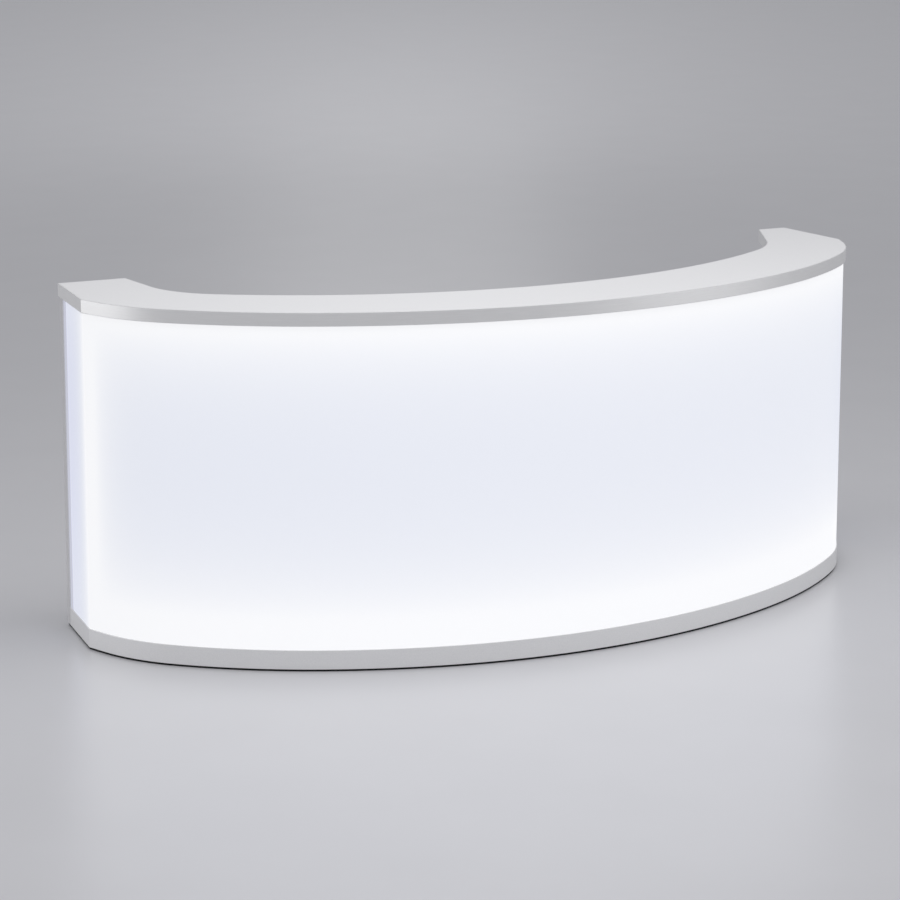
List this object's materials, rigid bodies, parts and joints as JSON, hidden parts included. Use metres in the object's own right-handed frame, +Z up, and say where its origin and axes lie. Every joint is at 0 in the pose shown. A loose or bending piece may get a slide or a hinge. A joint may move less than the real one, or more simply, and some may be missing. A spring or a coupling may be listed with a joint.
{
  "type": "reception counter",
  "caption": "Bowed standing-height reception counter with a glowing opal front between a silver worktop and a silver plinth, and a concave staff side with a service door.",
  "frame": {"origin": "middle of the overall box at floor level", "axes": "+X to the visitor's right along the counter, +Y toward the staff side, +Z up"},
  "size_m": [2.72, 1, 1.1],
  "materials": {
    "silver_laminate": "satin silver laminate on board",
    "silver_edge_band": "satin silver edging",
    "silver_plinth": "satin silver laminate on bent board",
    "opal_acrylic": "opal, lit from behind",
    "white_board": "white melamine board",
    "staff_laminate": "matt grey laminate on bent board",
    "aluminium": "anodised",
    "steel": "zinc plated",
    "led_strip": "white light strip",
    "black_rubber": "matt",
    "black_plastic": "moulded",
    "driver_case": "moulded"
  },
  "bodies": {
    "counter": {"worktop": "silver_laminate", "outer_edge_band": "silver_edge_band", "inner_edge_band": "silver_edge_band", "lid_board": "white_board", "base_deck": "white_board", "floor_strip": "black_rubber", "front_plinth": "silver_plinth", "left_plinth": "silver_plinth", "right_plinth": "silver_plinth", "front_diffuser": "opal_acrylic", "left_end_diffuser": "opal_acrylic", "right_end_diffuser": "opal_acrylic", "diffuser_ledge": "aluminium", "left_rear_upright": "silver_plinth", "right_rear_upright": "silver_plinth", "left_diffuser_stop": "opal_acrylic", "right_diffuser_stop": "opal_acrylic", "left_rear_panel": "staff_laminate", "right_rear_panel": "staff_laminate", "left_back_panel": "staff_laminate", "right_back_panel": "staff_laminate", "left_bow_rib": "white_board", "left_middle_rib": "white_board", "left_door_rib": "white_board", "right_door_rib": "white_board", "right_middle_rib": "white_board", "right_bow_rib": "white_board", "lower_hinge_panel_leaf": "steel", "lower_hinge_pin": "steel", "upper_hinge_panel_leaf": "steel", "upper_hinge_pin": "steel", "inlet_housing": "black_plastic", "lower_light_channel": "aluminium", "lower_light_strip": "led_strip", "upper_light_channel": "aluminium", "upper_light_strip": "led_strip", "left_corner_bar": "aluminium", "left_corner_light_strip": "led_strip", "right_corner_bar": "aluminium", "right_corner_light_strip": "led_strip", "light_driver": "driver_case"},
    "door": {"service_door": "staff_laminate", "lower_hinge_door_leaf": "steel", "upper_hinge_door_leaf": "steel"},
    "knob": {"door_knob": "steel"},
    "rocker": {"rocker_switch": "black_plastic"}
  },
  "joints": [
    {"name": "door_hinge", "type": "hinge", "parent": "counter", "child": "door", "pos_m": [-0.31098, -0.17664, 0.5], "axis": [0, 0, 1], "range_deg": [0, 110]},
    {"name": "knob_turn", "type": "hinge", "parent": "door", "child": "knob", "pos_m": [0.27244, -0.18817, 0.53285], "axis": [-0.1565, 0.9877, 0], "range_deg": [0, 90]},
    {"name": "rocker_tilt", "type": "hinge", "parent": "counter", "child": "rocker", "pos_m": [-1.22801, 0.4873, 0.178], "axis": [-1, 0, 0], "range_deg": [0, 16]}
  ]
}
